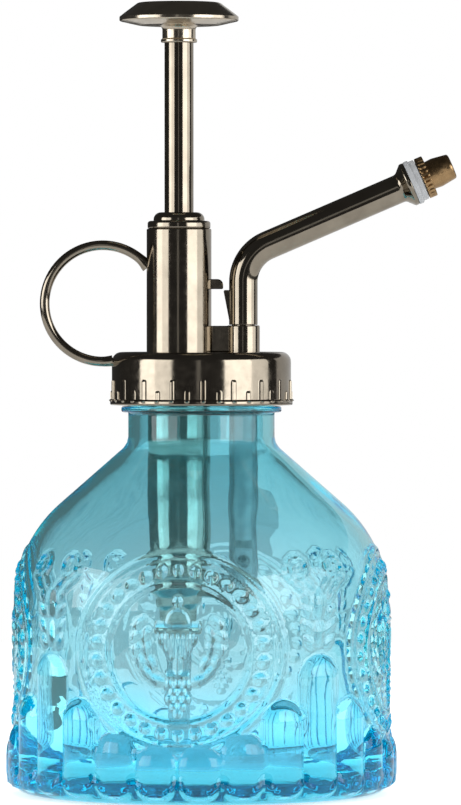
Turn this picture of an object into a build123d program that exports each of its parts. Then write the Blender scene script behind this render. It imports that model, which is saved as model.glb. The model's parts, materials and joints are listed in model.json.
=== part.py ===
from build123d import *
from math import cos, radians, sin, tan
import os

# Hand mister: glass bottle with a screw-on thumb pump, spout and spray nozzle.
# Origin: centre of the bottle's base. +Z up, +X towards the spout. Millimetres.

# Bottle
BODY_R = 39.3
WALL = 2.6
BASE_RING_IN = 28.0
BASE_RING_OUT = 36.2
PUSH_UP = 0.8
PUSH_UP_R = 26.0
FLOOR_Z = 6.0
FLOOR_ROUND = 7.0
CONE_PITCH = 41.2
CONE_FOOT_Z = 52.2
SHOULDER_ROUND = 28.0
NECK_R = 15.35
NECK_BORE_R = 13.0
NECK_ROUND = 3.5
COLLAR_R = 16.8
COLLAR_Z = (79.8, 81.0)
COLLAR_ROUND = 0.4
RIM_Z = 89.0
RIM_ROUND = 0.6

# Pressed pattern of the bottle
MEDALLIONS = 4
MEDALLION_AZIMUTH = 263.2
MEDALLION_Z = 31.3
MEDALLION_RIDGES = ((20.6, 1.3), (14.6, 1.0))
RIDGE_PROUD = 0.6
FLUTES = 28
FLUTE_R = 5.2
FLUTE_REACH = 41.1
FLUTE_FOOT_Z = 6.4
FLUTE_DOME = 4.16
FLUTE_TOPS = (11.1, 13.7, 20.4, 29.8, 20.4, 13.7, 11.1)

# Neck thread, single start, right-handed
LEAD = 3.2
THREAD_TURNS = 1.25
GLASS_THREAD_Z = 83.2
GLASS_CREST_R = 16.5
CAP_CREST_R = 15.75
GLASS_THREAD_WIDTH = (2.2, 1.0)
CAP_THREAD_WIDTH = (1.6, 0.8)
CAP_THREAD_AZIMUTH = 90
THREAD_ROOT = 0.25
GASKET_R = (13.3, 15.25)

# Cap
CAP_R = 18.8
CAP_BORE_R = 16.85
CAP_BOTTOM_Z = 81.3
CAP_PLATE_Z = 90.9
CAP_TOP_Z = 92.4
CAP_ROUND = 2.0
CAP_LIP_R = 19.15
CAP_LIP_HEIGHT = 1.2
CAP_LIP_ROUNDS = (0.3, 0.2)
RIBS = 36
RIB_WIDTH = 0.9
RIB_ROOT = 0.4
RIB_AZIMUTH = 271.3
RIB_FOOT_Z = 82.3
RIB_TOPS = (86.7, 84.4)

# Pump barrel and cylinder
BARREL_X = -4.7
BARREL_R = 6.8
BARREL_TOP_Z = 118.3
LINER_R = 5.5
LINER_TOP_Z = 113.2
BORE_R = 4.7
CYLINDER_R = 6.6
CYLINDER_FOOT_Z = 44.0
FLANGE_R = 15.8
FLANGE_Z = 90.0
FIT = 0.05

# Gland at the barrel's top
NUT_R = 6.6
NUT_HEIGHT = 1.6
NUT_BORE_R = 4.4
NUT_MOUTH_R = 3.4
NUT_LIP = 0.7
DOME_R = 5.35
DOME_HEIGHT = 1.8
DOME_ROUND = 1.5
BUSH_TOP_Z = 121.0
GLAND_SEAL_Z = 112.4
GLAND_SEAL_WIRE_R = 0.75

# Plunger
ROD_R = 3.05
ROD_TOP_Z = 157.3
PISTON_Z = 90.0
PISTON_LENGTH = 8.0
SEAL_ROOT_R = 3.7
SEAL_Z = (93.0, 95.4)
SEAL_ROUND = 0.4
SCREW_R = 1.2
SCREW_HEAD_R = 2.4
SCREW_HEAD = 2.0
SCREW_LENGTH = 15.0
SCREW_SLOT = (0.6, 0.8)
KNOB_R = 12.5
KNOB_TOP_Z = 165.7
KNOB_FOOT_R = 3.8
KNOB_BOSS_R = 3.5
KNOB_PLATE_Z = 160.8
KNOB_SPIGOT_R = 2.0
KNOB_SPIGOT_TOP_Z = 161.6

# Spring, valves and their channels
SPRING_WIRE_R = 0.35
SPRING_R = 3.4
SPRING_TURNS = 11
CAGE_TOP_Z = 47.2
CAGE_FOOT_Z = 46.4
CAGE_STOP = (1.0, 44.8)
CAGE_HOLES = (4, 0.6, 1.9)
OUTLET_CAGE_Z = (51.3, 53.0)
OUTLET_CAGE_HOLES = (3, 0.6, 1.5)
INLET_BALL_R = 2.0
OUTLET_BALL_R = 1.5
BALL_GAP = 0.02
INLET_SEAT_Z = 40.2
INLET_THROAT_R = 1.3
INLET_CHAMBER_R = 2.7
OUTLET_SEAT_Z = 47.0
CHANNEL_R = 0.9
CHANNEL_Z = 42.4
BLOCK_FOOT_Z = 37.5
BLOCK_NOSE_R = 3.9
BOSS_FOOT_Z = 33.5
BOSS_R = 3.8
DIP_TOP_Z = 38.5
DIP_FOOT_Z = 9.0
DIP_R = 2.5
DIP_BORE_R = 1.7

# Finger ring
RING_CENTRE = (-20.7, 102.6)
RING_R = 12.2
RING_WIRE_R = 1.05
RING_SPAN = (38.6, 280.0)

# Spout, its nozzle and the catch between spout and barrel
SPOUT_X = 8.8
SPOUT_R = 3.0
SPOUT_BORE_R = 2.0
SOCKET_R = 3.45
SOCKET_BORE_R = 2.45
SOCKET_TOP_Z = 98.0
WEB_HALF_DEPTH = 1.6
SPIGOT_R = 2.4
SPIGOT_FOOT_Z = 92.7
SPIGOT_BORE_R = 1.4
SPOUT_SEAL_Z = (94.2, 95.8)
SPOUT_SEAL_R = (1.85, 2.42)
SPOUT_CORNER_Z = 112.6
SPOUT_RISE = 23.3
SPOUT_BEND_R = 8.4
SPOUT_REACH = 36.0
MOUTH_R = 4.65
MOUTH_END = 38.3
MOUTH_BAND = 0.6
NIPPLE_R = 2.55
NIPPLE_SEAT_R = 2.6
NIPPLE_FOOT = 33.2
NIPPLE_END = 44.5
NIPPLE_BORE_R = 1.0
THREAD_R = 2.3
WASHER_R = 4.72
WASHER_STEP_R = 4.4
WASHER_STEP = 39.4
WASHER_BORE_R = 2.65
WASHER_END = 40.6
NOZZLE_FOOT = 40.8
KNURL_R = 4.45
KNURL_END = 42.5
KNURL_TEETH = 28
KNURL_NOTCH = 0.45
NOZZLE_R = (3.0, 3.15, 2.65)
NOZZLE_TIP = 47.7
NOZZLE_HOLE_R = 0.35
CORE_R = 2.0
CORE_END = 45.8
CORE_SLOTS = 3
CORE_SLOT = (3.0, 0.5, 0.8)
SWIRL_KEY = (1.6, 2.6)
LUG_END_X = 4.56
LUG_HEIGHT = 2.1
LUG_HALF_DEPTH = 1.2
CATCH_Z = 105.6
FIN_REACH = 4.2
FIN_FOOT_Z = 98.6
FIN_HALF_THICKNESS = 0.6

# Upright at the spout's corner, with its own Z out along the slanting tube
SPOUT_AXIS = Plane(origin=(SPOUT_X, 0, SPOUT_CORNER_Z), x_dir=(0, 1, 0),
                   z_dir=(cos(radians(SPOUT_RISE)), 0, sin(radians(SPOUT_RISE))))


def outline(corners):
    """Closed face from (x, y, rounding) triples; each corner is rounded by an arc of its rounding."""
    edges = []
    entries = []
    exits = []
    for i, (x, y, rounding) in enumerate(corners):
        here = Vector(x, y)
        back = (Vector(*corners[i - 1][:2]) - here).normalized()
        ahead = (Vector(*corners[(i + 1) % len(corners)][:2]) - here).normalized()
        half = radians(back.get_angle(ahead) / 2)
        entries.append(here + back * (rounding / tan(half)))
        exits.append(here + ahead * (rounding / tan(half)))
        if rounding:
            inward = (back + ahead).normalized()
            middle = here + inward * (rounding / sin(half) - rounding)
            edges.append(ThreePointArc(entries[i], middle, exits[i]))
    for i, leaving in enumerate(exits):
        arriving = entries[(i + 1) % len(entries)]
        if (arriving - leaving).length > 1e-4:
            edges.append(Line(leaving, arriving))
    return make_face(edges)


def turned(corners, x=0.0):
    """Solid of revolution of an outline of (radius, height, rounding) about the upright axis at x."""
    return Pos(x, 0, 0) * revolve(Plane.XZ * outline(corners), Axis.Z)


def tube(outer, inner, bottom, top, x=0.0, edge=0.0):
    """Plain upright tube, its outer top and bottom edges rounded by edge."""
    return turned([(inner, bottom, 0), (outer, bottom, edge), (outer, top, edge), (inner, top, 0)], x)


def rod(radius, bottom, top, x=0.0):
    """Upright cylinder from bottom to top."""
    return Pos(x, 0, bottom) * Cylinder(radius, top - bottom, align=(Align.CENTER, Align.CENTER, Align.MIN))


def slab(x, y, z):
    """Box from its low and high x, half depth y each side, and low and high z."""
    return Pos((x[0] + x[1]) / 2, 0, (z[0] + z[1]) / 2) * Box(x[1] - x[0], 2 * y, z[1] - z[0])


def helical_ridge(root_r, crest_r, widths, start_z, start_azimuth):
    """Trapezium swept along the neck's helix from its root radius to its crest radius."""
    path = Helix(LEAD, LEAD * THREAD_TURNS, root_r)
    section = Plane.XZ * Pos(root_r, 0) * Polygon(
        (0, -widths[0] / 2), (crest_r - root_r, -widths[1] / 2),
        (crest_r - root_r, widths[1] / 2), (0, widths[0] / 2), align=None)
    return Pos(0, 0, start_z) * Rot(0, 0, start_azimuth) * sweep(section, path, is_frenet=True)


def cone_height(radius, outset):
    """Height of the shoulder's cone at a radius, moved outward square to itself by outset."""
    lift = outset / cos(radians(CONE_PITCH))
    return CONE_FOOT_Z + (BODY_R - radius) * tan(radians(CONE_PITCH)) + lift


def bottle_outside(outset=0.0):
    """Bottle's outer form: pushed-up base, straight body, round shoulder, cone, collared neck."""
    body_r = BODY_R + outset
    return turned([
        (0, PUSH_UP, 0), (PUSH_UP_R, PUSH_UP, 0), (BASE_RING_IN, 0, 0),
        (body_r, 0, body_r - BASE_RING_OUT),
        (body_r, cone_height(body_r, outset), SHOULDER_ROUND + outset),
        (NECK_R, cone_height(NECK_R, outset), NECK_ROUND),
        (NECK_R, COLLAR_Z[0], 0),
        (COLLAR_R, COLLAR_Z[0], COLLAR_ROUND), (COLLAR_R, COLLAR_Z[1], COLLAR_ROUND),
        (NECK_R, COLLAR_Z[1], 0), (NECK_R, RIM_Z, RIM_ROUND), (0, RIM_Z, 0)])


def bottle_inside():
    """Space inside the bottle, open through the neck."""
    inner_r = BODY_R - WALL
    return turned([
        (0, FLOOR_Z, 0), (inner_r, FLOOR_Z, FLOOR_ROUND),
        (inner_r, cone_height(inner_r, -WALL), SHOULDER_ROUND - WALL),
        (NECK_BORE_R, cone_height(NECK_BORE_R, -WALL), NECK_ROUND + WALL),
        (NECK_BORE_R, RIM_Z + 1, 0), (0, RIM_Z + 1, 0)])


def flute(index):
    """One convex round-topped flute of the heel."""
    pitch = 360 / FLUTES
    top = FLUTE_TOPS[index % len(FLUTE_TOPS)] - FLUTE_DOME
    stem = rod(FLUTE_R, FLUTE_FOOT_Z, top)
    capsule = stem + Pos(0, 0, top) * Sphere(FLUTE_R) + Pos(0, 0, FLUTE_FOOT_Z) * Sphere(FLUTE_R)
    turn = Rot(0, 0, MEDALLION_AZIMUTH + pitch * (index + 0.5))
    return turn * Pos(FLUTE_REACH - FLUTE_R, 0, 0) * capsule


def medallion(index):
    """The round ridges of one medallion, standing proud of the body and following its shoulder."""
    shell = bottle_outside(RIDGE_PROUD) - bottle_outside(-WALL / 2)
    facing = Plane(origin=(0, 0, MEDALLION_Z), x_dir=(0, 1, 0), z_dir=(1, 0, 0))
    ridges = []
    for radius, width in MEDALLION_RIDGES:
        ring = Circle(radius + width / 2) - Circle(radius - width / 2)
        ridges.append(extrude(facing * ring, BODY_R + 5) & shell)
    turn = MEDALLION_AZIMUTH + index * 360 / MEDALLIONS
    return [Rot(0, 0, turn) * ridge for ridge in ridges]


def make_glass_bottle():
    solid = bottle_outside()
    # The flutes' tops are listed over one quarter, between two medallions' centres.
    solid += [flute(i) for i in range(FLUTES)]
    for i in range(MEDALLIONS):
        solid += medallion(i)
    thread = helical_ridge(NECK_R - THREAD_ROOT, GLASS_CREST_R, GLASS_THREAD_WIDTH, GLASS_THREAD_Z, 0)
    return solid + thread - bottle_inside()


def make_neck_gasket():
    return tube(GASKET_R[1], GASKET_R[0], RIM_Z, FLANGE_Z)


def cap_outside():
    """Cap's outer form without its ribs."""
    return turned([
        (0, CAP_BOTTOM_Z, 0), (CAP_LIP_R, CAP_BOTTOM_Z, CAP_LIP_ROUNDS[0]),
        (CAP_LIP_R, CAP_BOTTOM_Z + CAP_LIP_HEIGHT, CAP_LIP_ROUNDS[1]),
        (CAP_R, CAP_BOTTOM_Z + CAP_LIP_HEIGHT, 0), (CAP_R, CAP_TOP_Z, CAP_ROUND), (0, CAP_TOP_Z, 0)])


def cap_rib(index):
    """One grip rib of the cap; tall and short ribs take turns."""
    top = RIB_TOPS[index % len(RIB_TOPS)]
    rib = slab((CAP_R - RIB_ROOT, CAP_LIP_R), RIB_WIDTH / 2, (RIB_FOOT_Z, top))
    return Rot(0, 0, RIB_AZIMUTH + index * 360 / RIBS) * rib


def make_screw_cap():
    shell = cap_outside() + [cap_rib(i) for i in range(RIBS)]
    shell -= rod(CAP_BORE_R, CAP_BOTTOM_Z - 1, CAP_PLATE_Z)
    start_z = GLASS_THREAD_Z - LEAD / 2 + LEAD * CAP_THREAD_AZIMUTH / 360
    shell += helical_ridge(
        CAP_BORE_R + THREAD_ROOT, CAP_CREST_R, CAP_THREAD_WIDTH, start_z, CAP_THREAD_AZIMUTH)
    shell -= rod(LINER_R + FIT, CAP_PLATE_Z - 1, CAP_TOP_Z + 1, BARREL_X)
    return shell - rod(SPOUT_R + FIT, CAP_PLATE_Z - 1, CAP_TOP_Z + 1, SPOUT_X)


def make_barrel_sleeve():
    sleeve = tube(BARREL_R, LINER_R + FIT, CAP_TOP_Z, BARREL_TOP_Z, BARREL_X)
    root = BARREL_X + (BARREL_R + LINER_R) / 2
    lug = outline([
        (root, CATCH_Z, 0), (LUG_END_X, CATCH_Z, 0.2),
        (LUG_END_X, CATCH_Z + LUG_HEIGHT, 1.2), (root, CATCH_Z + LUG_HEIGHT, 0)])
    return sleeve + extrude(Plane.XZ * lug, LUG_HALF_DEPTH, both=True)


def make_finger_ring():
    centre = Vector(RING_CENTRE[0], 0, RING_CENTRE[1])
    ring_plane = Plane(origin=centre, x_dir=(1, 0, 0), z_dir=(0, -1, 0))
    path = ring_plane * CenterArc((0, 0), RING_R, RING_SPAN[0], RING_SPAN[1] - RING_SPAN[0])
    section = Plane(origin=path @ 0, z_dir=path % 0) * Circle(RING_WIRE_R)
    ring = sweep(section, path)
    return ring - rod(BARREL_R, CAP_BOTTOM_Z, BARREL_TOP_Z, BARREL_X) - cap_outside()


def make_spout_socket():
    socket = rod(SOCKET_R, CAP_TOP_Z, SOCKET_TOP_Z, SPOUT_X)
    web = slab((BARREL_X + LINER_R, SPOUT_X), WEB_HALF_DEPTH, (CAP_TOP_Z, SOCKET_TOP_Z))
    solid = socket + web - rod(BARREL_R, CAP_TOP_Z - 1, SOCKET_TOP_Z + 1, BARREL_X)
    return solid - rod(SOCKET_BORE_R, CAP_TOP_Z - 1, SOCKET_TOP_Z + 1, SPOUT_X)


def make_gland_nut():
    flange_top = BARREL_TOP_Z + NUT_HEIGHT
    dome_top = flange_top + DOME_HEIGHT
    return turned([
        (NUT_BORE_R, LINER_TOP_Z, 0), (LINER_R, LINER_TOP_Z, 0), (LINER_R, BARREL_TOP_Z, 0),
        (NUT_R, BARREL_TOP_Z, 0.4), (NUT_R, flange_top, 0.6), (DOME_R, flange_top, 0),
        (DOME_R, dome_top, DOME_ROUND), (NUT_MOUTH_R, dome_top, 0),
        (NUT_MOUTH_R, dome_top - NUT_LIP, 0), (NUT_BORE_R, dome_top - NUT_LIP, 0)], BARREL_X)


def make_gland_bush():
    return tube(NUT_BORE_R - FIT, ROD_R + FIT, LINER_TOP_Z, BUSH_TOP_Z, BARREL_X)


def make_gland_seal():
    return Pos(BARREL_X, 0, GLAND_SEAL_Z) * Torus(BORE_R - FIT - GLAND_SEAL_WIRE_R, GLAND_SEAL_WIRE_R)


def make_pump_cylinder():
    solid = rod(CYLINDER_R, CYLINDER_FOOT_Z, FLANGE_Z, BARREL_X)
    solid += rod(FLANGE_R, FLANGE_Z, CAP_PLATE_Z)
    solid += rod(LINER_R, CAP_PLATE_Z, LINER_TOP_Z, BARREL_X)
    solid -= rod(BORE_R, CYLINDER_FOOT_Z - 1, LINER_TOP_Z + 1, BARREL_X)
    return solid - rod(SPOUT_R + FIT, FLANGE_Z - 1, CAP_PLATE_Z + 1, SPOUT_X)


def make_valve_block():
    wide_end = Pos(BARREL_X, 0) * Circle(CYLINDER_R)
    nose = Pos(SPOUT_X, 0) * Circle(BLOCK_NOSE_R)
    plan = make_hull(wide_end.edges() + nose.edges())
    block = Pos(0, 0, BLOCK_FOOT_Z) * extrude(plan, CYLINDER_FOOT_Z - BLOCK_FOOT_Z)
    block += rod(BOSS_R, BOSS_FOOT_Z, BLOCK_FOOT_Z, BARREL_X)
    block += rod(BORE_R - FIT, CYLINDER_FOOT_Z, CAGE_FOOT_Z, BARREL_X)
    block += rod(SPOUT_BORE_R - FIT, CYLINDER_FOOT_Z, OUTLET_SEAT_Z, SPOUT_X)
    block -= rod(DIP_R + FIT, BOSS_FOOT_Z - 1, DIP_TOP_Z, BARREL_X)
    block -= rod(INLET_THROAT_R, BOSS_FOOT_Z - 1, INLET_SEAT_Z, BARREL_X)
    block -= rod(INLET_CHAMBER_R, INLET_SEAT_Z, CAGE_TOP_Z, BARREL_X)
    block -= rod(CHANNEL_R, CHANNEL_Z, OUTLET_SEAT_Z + 1, SPOUT_X)
    channel = Pos(BARREL_X, 0, CHANNEL_Z) * Rot(0, 90, 0) * Cylinder(
        CHANNEL_R, SPOUT_X - BARREL_X, align=(Align.CENTER, Align.CENTER, Align.MIN))
    return block - channel


def drill_ring(cage, holes, bottom, top, x):
    """Cage with a ring of upright holes, given as their count, radius and distance from the axis."""
    count, radius, reach = holes
    for i in range(count):
        cage -= Pos(x, 0, 0) * Rot(0, 0, i * 360 / count) * rod(radius, bottom - 1, top + 1, reach)
    return cage


def make_inlet_cage():
    plate = rod(BORE_R - FIT, CAGE_FOOT_Z, CAGE_TOP_Z, BARREL_X)
    stop = rod(CAGE_STOP[0], CAGE_STOP[1], CAGE_FOOT_Z, BARREL_X)
    return drill_ring(plate, CAGE_HOLES, CAGE_FOOT_Z, CAGE_TOP_Z, BARREL_X) + stop


def make_inlet_ball():
    rise = (INLET_BALL_R ** 2 - INLET_THROAT_R ** 2) ** 0.5
    return Pos(BARREL_X, 0, INLET_SEAT_Z + rise + BALL_GAP) * Sphere(INLET_BALL_R)


def make_outlet_ball():
    rise = (OUTLET_BALL_R ** 2 - CHANNEL_R ** 2) ** 0.5
    return Pos(SPOUT_X, 0, OUTLET_SEAT_Z + rise + BALL_GAP) * Sphere(OUTLET_BALL_R)


def make_outlet_cage():
    cage = rod(SPOUT_BORE_R - FIT, *OUTLET_CAGE_Z, SPOUT_X)
    return drill_ring(cage, OUTLET_CAGE_HOLES, *OUTLET_CAGE_Z, SPOUT_X)


def make_dip_tube():
    return tube(DIP_R, DIP_BORE_R, DIP_FOOT_Z, DIP_TOP_Z, BARREL_X)


def make_riser_tube():
    return tube(SPOUT_R, SPOUT_BORE_R, CYLINDER_FOOT_Z, CAP_TOP_Z, SPOUT_X)


def make_return_spring():
    height = PISTON_Z - CAGE_TOP_Z - 2 * SPRING_WIRE_R
    path = Helix(height / SPRING_TURNS, height, SPRING_R)
    section = Plane(origin=path @ 0, z_dir=path % 0) * Circle(SPRING_WIRE_R)
    return Pos(BARREL_X, 0, CAGE_TOP_Z + SPRING_WIRE_R) * sweep(section, path, is_frenet=True)


def make_piston():
    piston = tube(
        BORE_R - FIT, SCREW_R + FIT, PISTON_Z, PISTON_Z + PISTON_LENGTH, BARREL_X, edge=SEAL_ROUND)
    return piston - tube(BORE_R + 1, SEAL_ROOT_R, *SEAL_Z, BARREL_X)


def make_piston_seal():
    return tube(
        BORE_R - FIT / 2, SEAL_ROOT_R + FIT, SEAL_Z[0] + FIT, SEAL_Z[1] - FIT, BARREL_X, edge=SEAL_ROUND)


def make_piston_screw():
    head = rod(SCREW_HEAD_R, PISTON_Z - SCREW_HEAD, PISTON_Z, BARREL_X)
    stem = rod(SCREW_R, PISTON_Z, PISTON_Z + SCREW_LENGTH, BARREL_X)
    width, depth = SCREW_SLOT
    slot = slab((BARREL_X - SCREW_HEAD_R, BARREL_X + SCREW_HEAD_R), width / 2,
                (PISTON_Z - SCREW_HEAD, PISTON_Z - SCREW_HEAD + depth))
    return head + stem - slot


def make_plunger_rod():
    solid = rod(ROD_R, PISTON_Z + PISTON_LENGTH, ROD_TOP_Z, BARREL_X)
    solid += rod(KNOB_SPIGOT_R - FIT, ROD_TOP_Z, KNOB_SPIGOT_TOP_Z - FIT, BARREL_X)
    return solid - rod(SCREW_R + FIT, PISTON_Z, PISTON_Z + SCREW_LENGTH + 0.5, BARREL_X)


def make_thumb_knob():
    foot_top = ROD_TOP_Z + 0.6
    knob = turned([
        (0, ROD_TOP_Z, 0), (KNOB_FOOT_R, ROD_TOP_Z, 0.2), (KNOB_FOOT_R, foot_top, 0.2),
        (KNOB_BOSS_R, foot_top + 0.2, 0), (KNOB_BOSS_R, KNOB_PLATE_Z, 0.6), (8.6, KNOB_PLATE_Z + 0.1, 0),
        (KNOB_R, KNOB_PLATE_Z + 1, 0.3), (KNOB_R, KNOB_TOP_Z - 3, 0.3), (11.1, KNOB_TOP_Z - 1.9, 0.8),
        (8.6, KNOB_TOP_Z, 0.8), (0, KNOB_TOP_Z, 0)], BARREL_X)
    return knob - rod(KNOB_SPIGOT_R, ROD_TOP_Z - 1, KNOB_SPIGOT_TOP_Z, BARREL_X)


def bent_bar(radius):
    """Round bar along the spout's centreline, from the socket's top to the mouth."""
    lean = radians(SPOUT_RISE)
    corner = Vector(SPOUT_X, 0, SPOUT_CORNER_Z)
    end = corner + Vector(cos(lean), 0, sin(lean)) * SPOUT_REACH
    path = FilletPolyline((SPOUT_X, 0, SOCKET_TOP_Z), corner, end, radius=SPOUT_BEND_R)
    return sweep(Plane(origin=path @ 0, z_dir=path % 0) * Circle(radius), path)


def catch_fin():
    """Thin fin on the spout's barrel side that tapers down to the tube under the barrel's lug."""
    top = CATCH_Z - 0.2
    fin = outline([
        (SPOUT_X - FIN_REACH, top, 0.3), (SPOUT_X, top, 0),
        (SPOUT_X, FIN_FOOT_Z, 0), (SPOUT_X - SPOUT_R + 0.1, FIN_FOOT_Z, 0)])
    return extrude(Plane.XZ * fin, FIN_HALF_THICKNESS, both=True)


def make_spout_tube():
    solid = bent_bar(SPOUT_R) + catch_fin()
    flare_foot = SPOUT_REACH - 0.5
    solid += SPOUT_AXIS.location * turned([
        (0, flare_foot, 0), (SPOUT_R, flare_foot, 0), (MOUTH_R, MOUTH_END - MOUTH_BAND, 0),
        (MOUTH_R, MOUTH_END, 0.15), (0, MOUTH_END, 0)])
    solid += rod(SPIGOT_R, SPIGOT_FOOT_Z, SOCKET_TOP_Z, SPOUT_X)
    solid -= bent_bar(SPOUT_BORE_R)
    solid -= SPOUT_AXIS.location * rod(NIPPLE_SEAT_R, NIPPLE_FOOT - 0.2, MOUTH_END + 1)
    solid -= tube(SPIGOT_R + 0.2, SPOUT_SEAL_R[0], *SPOUT_SEAL_Z, SPOUT_X)
    return solid - rod(SPIGOT_BORE_R, SPIGOT_FOOT_Z - 1, SOCKET_TOP_Z + 0.1, SPOUT_X)


def make_spout_seal():
    inner, outer = SPOUT_SEAL_R
    low, high = SPOUT_SEAL_Z
    return tube(outer, inner + FIT, low + FIT, high - FIT, SPOUT_X, edge=0.2)


def make_nozzle_washer():
    return SPOUT_AXIS.location * turned([
        (WASHER_BORE_R, MOUTH_END, 0), (WASHER_R, MOUTH_END, 0.2), (WASHER_R, WASHER_STEP, 0.15),
        (WASHER_STEP_R, WASHER_STEP, 0), (WASHER_STEP_R, WASHER_END, 0.2), (WASHER_BORE_R, WASHER_END, 0)])


def make_nozzle_nipple():
    key, key_length = SWIRL_KEY
    body = rod(NIPPLE_R, NIPPLE_FOOT, MOUTH_END) + rod(NIPPLE_R, MOUTH_END, NOZZLE_FOOT - 0.3)
    body += rod(THREAD_R, MOUTH_END, NIPPLE_END)
    body -= rod(NIPPLE_BORE_R, NIPPLE_FOOT - 1, NIPPLE_END + 1)
    body -= Pos(0, 0, NIPPLE_END) * Box(key + 2 * FIT, key + 2 * FIT, 2 * key_length + 1)
    return SPOUT_AXIS.location * body


def make_swirl_core():
    foot = NIPPLE_END + 2 * FIT
    key, key_length = SWIRL_KEY
    core = rod(CORE_R, foot, CORE_END)
    core += Pos(0, 0, foot - key_length / 2 + 0.1) * Box(key, key, key_length)
    for i in range(CORE_SLOTS):
        core -= Rot(0, 0, i * 360 / CORE_SLOTS) * Pos(CORE_R, 0.5, CORE_END) * Box(*CORE_SLOT)
    return SPOUT_AXIS.location * core


def make_spray_nozzle():
    bottom, waist, tip = NOZZLE_R
    solid = turned([
        (0, NOZZLE_FOOT, 0), (KNURL_R, NOZZLE_FOOT, 0.15), (KNURL_R, KNURL_END, 0.15),
        (bottom, KNURL_END, 0), (waist, KNURL_END + 1.6, 2), (tip, NOZZLE_TIP, 0.5), (0, NOZZLE_TIP, 0)])
    middle = (NOZZLE_FOOT + KNURL_END) / 2
    notch = Pos(KNURL_R, 0, middle) * Rot(0, 0, 45) * Box(KNURL_NOTCH, KNURL_NOTCH, 3)
    for i in range(KNURL_TEETH):
        solid -= Rot(0, 0, i * 360 / KNURL_TEETH) * notch
    solid -= rod(THREAD_R + FIT, NOZZLE_FOOT - 1, CORE_END + FIT)
    solid -= rod(NOZZLE_HOLE_R, CORE_END, NOZZLE_TIP + 1)
    return SPOUT_AXIS.location * solid


NODES = {
    "glass_bottle": make_glass_bottle,
    "neck_gasket": make_neck_gasket,
    "screw_cap": make_screw_cap,
    "barrel_sleeve": make_barrel_sleeve,
    "finger_ring": make_finger_ring,
    "spout_socket": make_spout_socket,
    "gland_nut": make_gland_nut,
    "gland_bush": make_gland_bush,
    "gland_seal": make_gland_seal,
    "pump_cylinder": make_pump_cylinder,
    "valve_block": make_valve_block,
    "inlet_cage": make_inlet_cage,
    "inlet_ball": make_inlet_ball,
    "dip_tube": make_dip_tube,
    "riser_tube": make_riser_tube,
    "outlet_cage": make_outlet_cage,
    "outlet_ball": make_outlet_ball,
    "return_spring": make_return_spring,
    "piston": make_piston,
    "piston_seal": make_piston_seal,
    "piston_screw": make_piston_screw,
    "plunger_rod": make_plunger_rod,
    "thumb_knob": make_thumb_knob,
    "spout_tube": make_spout_tube,
    "spout_seal": make_spout_seal,
    "nozzle_washer": make_nozzle_washer,
    "nozzle_nipple": make_nozzle_nipple,
    "swirl_core": make_swirl_core,
    "spray_nozzle": make_spray_nozzle,
}

os.makedirs("parts", exist_ok=True)
for name, make in NODES.items():
    export_step(make(), f"parts/{name}.step")
    print(name)
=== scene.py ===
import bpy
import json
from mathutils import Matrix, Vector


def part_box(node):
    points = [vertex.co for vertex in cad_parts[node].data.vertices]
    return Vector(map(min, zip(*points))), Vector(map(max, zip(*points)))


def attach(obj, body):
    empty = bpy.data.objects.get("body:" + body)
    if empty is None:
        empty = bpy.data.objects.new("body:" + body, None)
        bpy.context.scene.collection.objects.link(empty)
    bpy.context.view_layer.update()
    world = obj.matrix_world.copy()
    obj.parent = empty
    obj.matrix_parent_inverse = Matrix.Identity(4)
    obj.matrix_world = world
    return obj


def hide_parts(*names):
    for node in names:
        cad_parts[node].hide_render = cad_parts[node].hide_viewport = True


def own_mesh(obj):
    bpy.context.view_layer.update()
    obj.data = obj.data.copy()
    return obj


bl_info = {
    "name": "Hand Mister",
    "version": (1, 0, 0),
    "blender": (4, 5, 0),
    "location": "3D View > Sidebar > Mister",
    "description": "Builds the looks of a glass hand mister around its packed frame",
    "category": "Object",
}

import json
from math import radians

import bpy
import numpy as np
from mathutils import Vector

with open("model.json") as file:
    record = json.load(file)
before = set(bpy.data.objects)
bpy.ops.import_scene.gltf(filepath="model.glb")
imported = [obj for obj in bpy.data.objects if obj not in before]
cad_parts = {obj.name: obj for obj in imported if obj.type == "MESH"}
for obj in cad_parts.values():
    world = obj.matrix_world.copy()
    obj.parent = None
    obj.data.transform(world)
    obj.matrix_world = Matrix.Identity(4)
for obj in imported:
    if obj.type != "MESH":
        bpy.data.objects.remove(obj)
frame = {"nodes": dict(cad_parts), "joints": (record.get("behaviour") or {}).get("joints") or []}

MM = 0.001
TAU = 2 * np.pi
FINE_STEPS = 20001


# Outlines and grids -------------------------------------------------------------------------------


def unit(vector):
    """The vector divided by its length."""
    return vector / np.linalg.norm(vector)


def rounded(corners, steps=7):
    """Open line through (x, y, rounding) corners, each corner between the ends replaced by an arc
    of its rounding that touches both sides."""
    points = np.array([corner[:2] for corner in corners], float)
    line = [points[:1]]
    share = np.linspace(0, 1, steps)[:, None]
    for i in range(1, len(points) - 1):
        rounding = corners[i][2]
        if not rounding:
            line.append(points[i:i + 1])
            continue
        back = unit(points[i - 1] - points[i])
        ahead = unit(points[i + 1] - points[i])
        half = np.arccos(np.clip(back @ ahead, -1, 1)) / 2
        centre = points[i] + unit(back + ahead) * rounding / np.sin(half)
        start = points[i] + back * rounding / np.tan(half) - centre
        end = points[i] + ahead * rounding / np.tan(half) - centre
        turn = np.pi - 2 * half
        arc = np.sin((1 - share) * turn) * start + np.sin(share * turn) * end
        line.append(centre + arc / np.sin(turn))
    line.append(points[-1:])
    return np.concatenate(line)


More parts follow.
